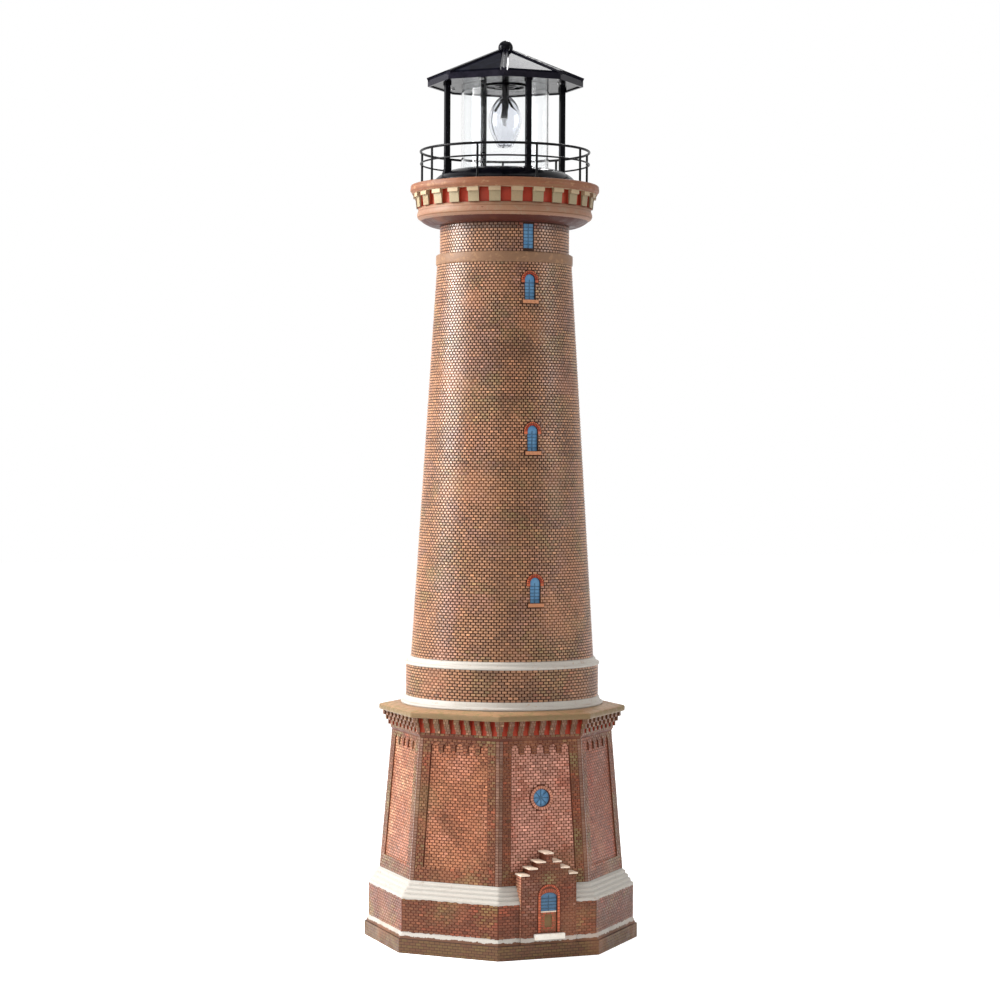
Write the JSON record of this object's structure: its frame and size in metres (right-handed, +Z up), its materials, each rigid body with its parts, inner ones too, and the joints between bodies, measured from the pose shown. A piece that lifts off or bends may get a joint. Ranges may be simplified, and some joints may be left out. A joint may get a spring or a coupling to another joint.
{
  "type": "garden lighthouse ornament",
  "caption": "Cast lighthouse garden ornament with octagonal brick base, tapering round tower, railed gallery and a lift-off solar lantern with a turning beacon.",
  "frame": {"origin": "middle of the octagonal footing's underside, on the ground", "axes": "+Z up the tower; the door faces -Y; +X to the right of someone who faces the door"},
  "size_m": [0.254, 0.2577, 0.9],
  "materials": {
    "cast_brick": "cast resin with brick relief, hand painted and washed",
    "cast_stone": "cast resin, painted as sandstone",
    "white_stone": "matt white paint",
    "window_blue": "moulded, satin blue",
    "cover_plastic": "moulded, fine grain",
    "screw_steel": "zinc plated",
    "stem_steel": "drawn",
    "rail_black": "gloss black enamel",
    "lantern_black": "gloss black moulding",
    "clear_acrylic": "clear, polished",
    "solar_cell": "silicon cells under clear resin",
    "motor_can": "drawn steel can",
    "gear_nylon": "natural nylon",
    "led_epoxy": "clear epoxy with a white die",
    "contact_metal": "nickel plated",
    "cell_wrap": "shrink wrap",
    "board_green": "solder mask",
    "chip_black": "moulded package"
  },
  "bodies": {
    "tower": {"base_casting": "cast_brick", "base_cover": "cover_plastic", "base_cover_screws": "screw_steel", "door_leaf": "cast_brick", "door_window": "window_blue", "door_step": "white_stone", "round_window": "window_blue", "tower_casting": "cast_brick", "neck_window": "window_blue", "tower_window_1": "window_blue", "tower_window_2": "window_blue", "tower_window_3": "window_blue", "gallery_casting": "cast_stone", "top_rail": "rail_black", "mid_rail": "rail_black", "railing_post_1": "rail_black", "railing_post_2": "rail_black", "railing_post_3": "rail_black", "railing_post_4": "rail_black", "railing_post_5": "rail_black", "railing_post_6": "rail_black", "railing_post_7": "rail_black", "railing_post_8": "rail_black", "railing_post_9": "rail_black"},
    "lantern": {"lantern_base": "lantern_black", "lantern_post_1": "lantern_black", "lantern_post_2": "lantern_black", "lantern_post_3": "lantern_black", "lantern_post_4": "lantern_black", "lantern_post_screws": "screw_steel", "lens_tube": "clear_acrylic", "soffit_plate": "lantern_black", "ceiling_screws": "screw_steel", "roof_shell": "lantern_black", "roof_screws": "screw_steel", "solar_panels": "solar_cell", "finial": "lantern_black", "motor": "motor_can", "motor_bracket": "gear_nylon", "bracket_screws": "screw_steel", "lamp_stem": "stem_steel", "lamp_holder": "lantern_black", "led": "led_epoxy", "housing_floor": "cover_plastic", "floor_screws": "screw_steel", "battery_tray": "cover_plastic", "battery_contacts": "contact_metal", "battery_cell_1": "cell_wrap", "battery_cell_2": "cell_wrap", "circuit_board": "board_green", "circuit_parts": "chip_black", "switch_body": "contact_metal"},
    "beacon": {"lens_carrier": "lantern_black", "spindle_gear": "gear_nylon", "beacon_lens": "clear_acrylic"},
    "pinion": {"drive_pinion": "gear_nylon", "motor_shaft": "stem_steel"},
    "switch": {"switch_knob": "lantern_black"},
    "battery_lid": {"battery_door": "cover_plastic"}
  },
  "joints": [
    {"name": "lantern_lift", "type": "slide", "parent": "tower", "child": "lantern", "axis": [0, 0, 1], "range_m": [0, 0.06]},
    {"name": "beacon_spin", "type": "hinge", "parent": "lantern", "child": "beacon", "pos_m": [0, 0, 0.84], "axis": [0, 0, 1], "continuous": true},
    {"name": "pinion_spin", "type": "hinge", "parent": "lantern", "child": "pinion", "pos_m": [0, 0.01392, 0.859], "axis": [0, 0, 1], "continuous": true},
    {"name": "switch_slide", "type": "slide", "parent": "lantern", "child": "switch", "axis": [1, 0, 0], "range_m": [0, 0.003]},
    {"name": "battery_door_release", "type": "slide", "parent": "lantern", "child": "battery_lid", "axis": [0, 0, -1], "range_m": [0, 0.02]}
  ],
  "couplings": [
    {"joint": "pinion_spin", "follows": "beacon_spin", "ratio": -3.6}
  ]
}
